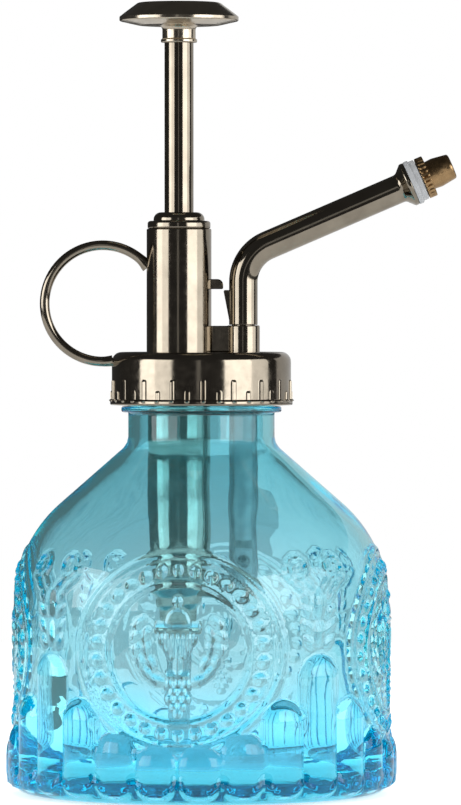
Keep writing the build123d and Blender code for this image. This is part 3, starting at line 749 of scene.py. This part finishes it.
class MISTER_OT_barrel(bpy.types.Operator):
    """Build the pump's barrel with its lug, the gland nut on it and the finger ring beside it"""
    bl_idname = "mister.barrel"
    bl_label = "Barrel, gland nut and finger ring"

    def execute(self, context):
        looks = context.scene.mister_looks
        x = barrel_x()
        material = metal("barrel_plating", looks.plating, looks.plating_roughness)
        sleeve = lathe(rounded([
            (6.2, CAP_TOP_Z, 0), (BARREL_R, CAP_TOP_Z, 0), (BARREL_R, BARREL_TOP_Z, 0.35),
            (5.55, BARREL_TOP_Z, 0.2), (5.55, CAP_TOP_Z, 0), (6.2, CAP_TOP_Z, 0)])[:-1], circle(96), x)
        lug = plate(rounded([
            (1.6, 106.6, 0), (1.6, 105.6, 0), (4.56, 105.6, 0.3), (4.56, 107.7, 1.2), (1.6, 107.7, 0),
            (1.6, 106.6, 0)])[:-1], 1.2, 0.25)
        piece("barrel_sleeve_skin", [sleeve, lug], material, "head", "barrel_sleeve")
        nut = lathe(rounded([
            (4.4, 115, 0), (4.4, 113.2, 0), (5.5, 113.2, 0), (5.5, BARREL_TOP_Z, 0),
            (6.6, BARREL_TOP_Z, 0.35),
            (6.6, 119.9, 0.6), (5.35, 119.9, 0.15), (5.35, 121.7, 1.5), (3.4, 121.7, 0.2), (3.4, 121.0, 0),
            (4.4, 121.0, 0), (4.4, 115, 0)], 9)[:-1], circle(96), x)
        piece("gland_nut_skin", [nut], material, "head", "gland_nut")
        self.make_ring(x, material)
        return {"FINISHED"}

    def make_ring(self, x, material):
        """Bent wire: points on an arc about the ring's centre, the wire a little thicker where it
        joins the barrel and the cap, and cut flush with the barrel's wall."""
        turn = np.radians(np.linspace(38.6, 280.0, 121))
        centres = np.stack([-20.7 + RING_R * np.cos(turn), 0 * turn, 102.6 + RING_R * np.sin(turn)], -1)
        ahead = np.stack([-np.sin(turn), 0 * turn, np.cos(turn)], -1)
        along = RING_R * (turn - turn[0])
        left = along[-1] - along
        radii = 1.02 + 0.35 * np.exp(-(along / 1.6) ** 2) + 0.12 * np.exp(-(left / 1.6) ** 2)
        vertices, quads, fans = sweep(centres, ahead, radii, 32)
        wall = BARREL_R - 0.05
        inside = np.hypot(vertices[:, 0] - x, vertices[:, 1]) < wall
        flush = x - np.sqrt(np.clip(wall ** 2 - vertices[:, 1] ** 2, 0, None))
        vertices[:, 0] = np.where(inside, flush, vertices[:, 0])
        piece("finger_ring_skin", [(vertices, quads, fans)], material,
              "head", "finger_ring")


class MISTER_OT_spout(bpy.types.Operator):
    """Build the spout's socket and the bent spout"""
    bl_idname = "mister.spout"
    bl_label = "Spout"

    def execute(self, context):
        looks = context.scene.mister_looks
        x = spout_x()
        material = metal("spout_plating", looks.plating, looks.plating_roughness * 0.8)
        socket = lathe(rounded([
            (3.0, CAP_TOP_Z, 0), (3.45, CAP_TOP_Z, 0), (3.45, SOCKET_TOP_Z, 0.3),
            (2.45, SOCKET_TOP_Z, 0), (2.45, CAP_TOP_Z, 0), (3.0, CAP_TOP_Z, 0)])[:-1], circle(72), x)
        web = plate(rounded([
            (2.0, 95, 0), (2.0, CAP_TOP_Z, 0), (x - 2.6, CAP_TOP_Z, 0), (x - 2.6, 97.9, 0.3), (2.0, 97.9, 0),
            (2.0, 95, 0)])[:-1], 1.6, 0.3)
        plating = bpy.data.materials["barrel_plating_finish"]
        piece("spout_socket_skin", [socket, web], plating, "head", "spout_socket")
        fin = plate(rounded([
            (x - 1, 105.4, 0), (x - 4.2, 105.4, 0.3), (x - 2.9, 98.6, 0.2), (x - 1, 98.6, 0),
            (x - 1, 105.4, 0)])[:-1], 0.6, 0.2)
        piece("spout_tube_skin", [self.tube(x), fin], material, "spout", "spout_tube")
        return {"FINISHED"}

    def tube(self, x):
        """Round tube along an upright, an arc of radius 8.4 and a slanting straight. Its profile runs
        up the outside, flares at the mouth and comes back down the bore."""
        bend = 8.4
        rise = radians(23.3)
        foot = SOCKET_TOP_Z
        corner = 112.6
        turn = np.pi / 2 - rise
        short = bend * np.tan(turn / 2)
        upright = corner - short - foot
        arc = bend * turn
        to_corner = upright + arc - short
        outer = rounded([
            (-5.3, 1.9, 0), (-5.3, 2.4, 0.1), (0.1, 2.4, 0), (0.1, 3.0, 0.15),
            (to_corner + 35.9, 3.0, 1.2), (to_corner + 37.5, 4.65, 0.4), (to_corner + 38.3, 4.65, 0.2),
            (to_corner + 38.3, 2.6, 0), (to_corner + 33.0, 2.6, 0), (to_corner + 33.0, 2.0, 0),
            (0.5, 2.0, 0), (0.5, 1.4, 0), (-5.3, 1.4, 0), (-5.3, 1.9, 0)], 9)[:-1]

        def spacing(s, r):
            step = np.where(np.abs(s) < 0.8, 0.05, 0.6)
            step = np.where(s > to_corner + 35, 0.12, step)
            return np.where((s > upright - 1) & (s < upright + arc + 1), 0.3, step)

        rows = respaced(outer, spacing)
        s, radii = rows[:, 0], rows[:, 1]
        angle = np.clip(s - upright, 0, arc) / bend
        after = np.clip(s - upright - arc, 0, None)
        centres = np.stack([
            x + bend * (1 - np.cos(angle)) + after * np.sin(angle), 0 * s,
            foot + np.minimum(s, upright) + bend * np.sin(angle) + after * np.cos(angle)], -1)
        ahead = np.stack([np.sin(angle), 0 * s, np.cos(angle)], -1)
        return sweep(centres, ahead, radii, 72, True)


class MISTER_OT_nozzle(bpy.types.Operator):
    """Build the washer and the knurled spray nozzle"""
    bl_idname = "mister.nozzle"
    bl_label = "Nozzle and washer"

    def execute(self, context):
        looks = context.scene.mister_looks
        origin, axis = nozzle_place()
        washer = lathe(rounded([
            (3.6, -2.5, 0), (4.72, -2.5, 0.25), (4.72, -1.4, 0.2), (4.4, -1.4, 0.05), (4.4, -0.2, 0.25),
            (2.65, -0.2, 0), (2.65, -2.5, 0), (3.6, -2.5, 0)], 6)[:-1], circle(96))
        clear = plastic("washer_plastic", (0.40, 0.41, 0.42), 0.3, through=0.35)
        piece("nozzle_washer_skin", [placed(washer, origin, axis)], clear,
              "spout", "nozzle_washer")
        teeth = 28
        line = rounded([
            (3.4, 0, 0), (4.45, 0, 0.15), (4.45, 1.7, 0.15), (3.0, 1.7, 0.15), (3.15, 3.3, 2),
            (2.65, 6.9, 0.5), (0.35, 6.9, 0), (0.35, 5.05, 0), (2.35, 5.05, 0), (2.35, 0, 0),
            (3.4, 0, 0)], 9)[:-1]

        def knurl(turn, z, radius):
            """Upright grooves between teeth, cut deepest halfway up the collar."""
            groove = np.clip(np.cos(teeth * turn), 0, 1) ** 0.7
            return -0.32 * groove * hump(z - 0.85, 0.86) * (radius > 4.0)

        def spacing(r, z):
            return np.where((r > 4.0) & (z < 1.8), 0.1, 0.3)

        body = lathe(respaced(line, spacing), circle(teeth * 8), proud=knurl)
        brass = metal("nozzle_brass", looks.brass, 0.28, 500, spread=0.2)
        piece("spray_nozzle_skin", [placed(body, origin, axis)], brass,
              "nozzle", "spray_nozzle")
        return {"FINISHED"}


class MISTER_OT_plunger(bpy.types.Operator):
    """Build the plunger's rod and its thumb knob"""
    bl_idname = "mister.plunger"
    bl_label = "Plunger"

    def execute(self, context):
        looks = context.scene.mister_looks
        x = barrel_x()
        rod = lathe(rounded([
            (0, 105.5, 0), (1.25, 105.5, 0), (1.25, 98, 0), (ROD_R, 98, 0.2), (ROD_R, KNOB_FOOT_Z, 0.1),
            (1.95, KNOB_FOOT_Z, 0), (1.95, 161.55, 0), (0, 161.55, 0)]), circle(80), x)
        plating = metal("rod_plating", looks.plating, looks.plating_roughness * 0.8)
        piece("plunger_rod_skin", [rod], plating, "plunger", "plunger_rod")
        knob = lathe(rounded([
            (0, 161.6, 0), (2.0, 161.6, 0), (2.0, KNOB_FOOT_Z, 0), (3.8, KNOB_FOOT_Z, 0.2),
            (3.8, 157.9, 0.2), (3.5, 158.15, 0.1), (3.5, 160.8, 0.9), (8.6, 160.9, 2),
            (12.5, 161.8, 0.35), (12.5, 162.7, 0.35), (11.1, 163.8, 0.9), (8.6, 165.65, 1.0),
            (4.0, 165.7, 1), (0, 165.7, 0)], 9), circle(128), x)
        worn = metal("knob_plating", shade(looks.plating, 1.7), looks.plating_roughness * 1.5)
        piece("thumb_knob_skin", [knob], worn, "plunger", "thumb_knob")
        return {"FINISHED"}


class MISTER_OT_inside(bpy.types.Operator):
    """Build the valve block and the return spring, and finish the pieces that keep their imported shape"""
    bl_idname = "mister.inside"
    bl_label = "Inner pieces"

    def execute(self, context):
        x = barrel_x()
        white = plastic("white_plastic", (0.80, 0.80, 0.77), 0.4)
        clear = plastic("clear_plastic", (0.86, 0.92, 0.94), 0.18, through=0.85)
        rubber = plastic("black_rubber", (0.025, 0.025, 0.027), 0.6, 900, 0.4)
        grey = metal("grey_plastic", (0.50, 0.48, 0.43), 0.13)
        steel = metal("spring_steel", (0.55, 0.55, 0.53), 0.25, 600, spread=0.15)
        plated = metal("pump_plating", (0.60, 0.57, 0.50), 0.13, 180)
        finishes = {
            "neck_gasket": rubber, "gland_seal": rubber, "piston_seal": rubber, "spout_seal": rubber,
            "gland_bush": white, "inlet_cage": white, "outlet_cage": white, "piston": white,
            "nozzle_nipple": white, "swirl_core": white, "dip_tube": clear, "riser_tube": clear,
            "inlet_ball": steel, "outlet_ball": steel, "piston_screw": steel,
            "pump_cylinder": plated,
        }
        for node, material in finishes.items():
            frame["nodes"][node].data.materials.clear()
            frame["nodes"][node].data.materials.append(material)
        self.make_block(x, grey)
        self.make_spring(x, steel)
        return {"FINISHED"}

    def make_block(self, x, material):
        """Foot of the pump: a cone under the cylinder that narrows to the tube's boss, with a flat
        arm across to the riser."""
        foot = lathe(rounded([
            (0, 36.0, 0), (2.55, 36.0, 0), (2.55, 33.5, 0), (3.8, 33.5, 0.3), (3.8, 38.5, 0.8),
            (4.6, 39.2, 0.8), (4.6, 41.0, 0.8), (6.6, 42.6, 0.5), (6.6, 43.95, 0.2), (4.6, 43.95, 0),
            (4.6, 46.3, 0), (0, 46.3, 0)]), circle(72), x)
        side = spout_x()
        arm = plate(rounded([
            (x + 3, 43.9, 0), (x + 3, 40.6, 0), (side + 2.8, 40.6, 1.2), (side + 2.8, 43.9, 0.3),
            (x + 3, 43.9, 0)])[:-1], 2.8, 0.6)
        piece("valve_block_skin", [foot, arm], material, "head", "valve_block")

    def make_spring(self, x, material):
        """Helical wire: centres at radius 3.4 that climb evenly over eleven turns, each with a ring
        of points drawn with the outward direction and the upright square to the wire."""
        wire = 0.35
        radius = 3.4
        low = 47.55
        high = 89.65
        turns = 11
        share = np.linspace(0, 1, turns * 28 + 1)
        turn = share * turns * TAU
        out = np.stack([np.cos(turn), np.sin(turn), 0 * turn], -1)
        climb = (high - low) / turns / TAU
        ahead = np.stack([-radius * np.sin(turn), radius * np.cos(turn), climb + 0 * turn], -1)
        ahead /= np.linalg.norm(ahead, axis=1, keepdims=True)
        upright = np.cross(out, ahead)
        centres = radius * out + np.stack([x + 0 * turn, 0 * turn, low + share * (high - low)], -1)
        around = circle(10)[None, :, None]
        ring = np.cos(around) * out[:, None] + np.sin(around) * upright[:, None]
        grid = centres[:, None] + wire * ring
        spring = piece("return_spring_skin", [skin(grid, False, centres[0], centres[-1])], material,
                       "head", "return_spring", 60)
        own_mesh(spring)


class MISTER_OT_stage(bpy.types.Operator):
    """Set the floor, the lights, the surroundings and the camera"""
    bl_idname = "mister.stage"
    bl_label = "Stage"

    def execute(self, context):
        stage = context.scene.mister_stage
        self.make_floor(stage)
        self.make_world(context, stage)
        for panel in PANELS:
            self.make_light(stage, *panel)
        self.make_camera(context, stage)
        context.scene.view_settings.view_transform = "Standard"
        context.scene.cycles.use_denoising = True
        context.scene.cycles.max_bounces = BOUNCES
        context.scene.cycles.transmission_bounces = BOUNCES
        context.scene.cycles.glossy_bounces = BOUNCES
        return {"FINISHED"}

    def make_floor(self, stage):
        """Flat disc: a ring of points round the base's middle, a hair below the base."""
        turn = circle(96)
        rim = np.stack([np.cos(turn), np.sin(turn), 0 * turn], -1) * stage.floor_reach
        rim[:, 2] = -FLOOR_DROP
        mesh = bpy.data.meshes.new("floor")
        mesh.from_pydata(rim, [], [tuple(range(len(rim)))])
        material, tree, shader = start_material("floor_paper")
        stops = [(CLOUD_LOW, stage.floor_tone), (CLOUD_HIGH, shade(stage.floor_tone, 1.01))]
        tones = ramp(tree, noise(tree, 40, 2), stops)
        tree.links.new(tones, shader.inputs["Base Color"])
        shader.inputs["Roughness"].default_value = 0.9
        shader.inputs["Emission Color"].default_value = (1, 1, 1, 1)
        shader.inputs["Emission Strength"].default_value = stage.floor_glow
        mesh.materials.append(material)
        floor = bpy.data.objects.new("floor", mesh)
        bpy.context.scene.collection.objects.link(floor)

    def make_world(self, context, stage):
        """White to the eye and through glass, dim in bare reflections, soft on matt surfaces."""
        world = bpy.data.worlds.new("surroundings")
        world.use_nodes = True
        tree = world.node_tree
        path = tree.nodes.new("ShaderNodeLightPath")

        def at_least_once(depth):
            node = tree.nodes.new("ShaderNodeMath")
            node.operation = "GREATER_THAN"
            node.inputs[1].default_value = 0.5
            tree.links.new(path.outputs[depth], node.inputs[0])
            return node.outputs[0]

        def blend(factor, first, second):
            node = tree.nodes.new("ShaderNodeMix")
            tree.links.new(factor, node.inputs["Factor"])
            for key, value in (("A", first), ("B", second)):
                if isinstance(value, float):
                    node.inputs[key].default_value = value
                else:
                    tree.links.new(value, node.inputs[key])
            return node.outputs["Result"]

        matt = at_least_once("Diffuse Depth")
        mirrored = at_least_once("Glossy Depth")
        through = at_least_once("Transmission Depth")
        direct = blend(matt, stage.backdrop, stage.ambient)
        bare = blend(matt, stage.reflected, stage.reflected_ambient)
        in_glass = blend(matt, stage.reflected_in_glass, stage.ambient)
        reflected = blend(through, bare, in_glass)
        sky = tree.nodes["Background"]
        sky.inputs["Color"].default_value = (1, 1, 1, 1)
        tree.links.new(blend(mirrored, direct, reflected), sky.inputs["Strength"])
        context.scene.world = world

    def make_light(self, stage, turn, span, radiance):
        """Soft upright panel that faces the object and fills span degrees round it; turn is its
        bearing in degrees from the camera's side. The camera itself doesn't see it."""
        data = bpy.data.lights.new("panel", "AREA")
        data.shape = "RECTANGLE"
        data.size = 2 * PANEL_DISTANCE * np.tan(radians(span / 2))
        data.size_y = PANEL_HEIGHT
        data.energy = radiance * stage.light_level * np.pi * data.size * data.size_y
        light = bpy.data.objects.new("panel", data)
        angle = radians(turn)
        lift = PANEL_HEIGHT / 2 + PANEL_LIFT
        light.location = (PANEL_DISTANCE * np.sin(angle), -PANEL_DISTANCE * np.cos(angle), lift)
        aim = Vector((0, 0, light.location.z)) - light.location
        light.rotation_euler = aim.to_track_quat("-Z", "Y").to_euler()
        light.visible_camera = False
        bpy.context.scene.collection.objects.link(light)

    def make_camera(self, context, stage):
        """Long lens in front of the object, a little above its middle."""
        data = bpy.data.cameras.new("camera")
        data.lens = stage.lens
        data.sensor_width = 36
        camera = bpy.data.objects.new("camera", data)
        camera.location = CAMERA_PLACE
        aim = Vector(CAMERA_AIM) - camera.location
        camera.rotation_euler = aim.to_track_quat("-Z", "Y").to_euler()
        bpy.context.scene.collection.objects.link(camera)
        context.scene.camera = camera


class MISTER_PT_panel(bpy.types.Panel):
    """Sizes, colours and build buttons of the mister"""
    bl_label = "Hand Mister"
    bl_space_type = "VIEW_3D"
    bl_region_type = "UI"
    bl_category = "Mister"

    def draw(self, context):
        for group in (context.scene.mister_looks, context.scene.mister_stage):
            for key in group.__annotations__:
                self.layout.prop(group, key)
        for operator in OPERATORS:
            self.layout.operator(operator.bl_idname)


OPERATORS = (
    MISTER_OT_bottle, MISTER_OT_cap, MISTER_OT_barrel, MISTER_OT_spout, MISTER_OT_nozzle,
    MISTER_OT_plunger, MISTER_OT_inside, MISTER_OT_stage,
)
CLASSES = (MisterLooks, MisterStage, *OPERATORS, MISTER_PT_panel)


def register():
    for cls in CLASSES:
        bpy.utils.register_class(cls)
    bpy.types.Scene.mister_looks = bpy.props.PointerProperty(type=MisterLooks)
    bpy.types.Scene.mister_stage = bpy.props.PointerProperty(type=MisterStage)


def unregister():
    del bpy.types.Scene.mister_stage
    del bpy.types.Scene.mister_looks
    for cls in reversed(CLASSES):
        bpy.utils.unregister_class(cls)


def main():
    register()
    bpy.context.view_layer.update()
    bpy.ops.mister.bottle()
    bpy.ops.mister.cap()
    bpy.ops.mister.barrel()
    bpy.ops.mister.spout()
    bpy.ops.mister.nozzle()
    bpy.ops.mister.plunger()
    bpy.ops.mister.inside()
    bpy.ops.mister.stage()


if __name__ == "__main__":
    main()
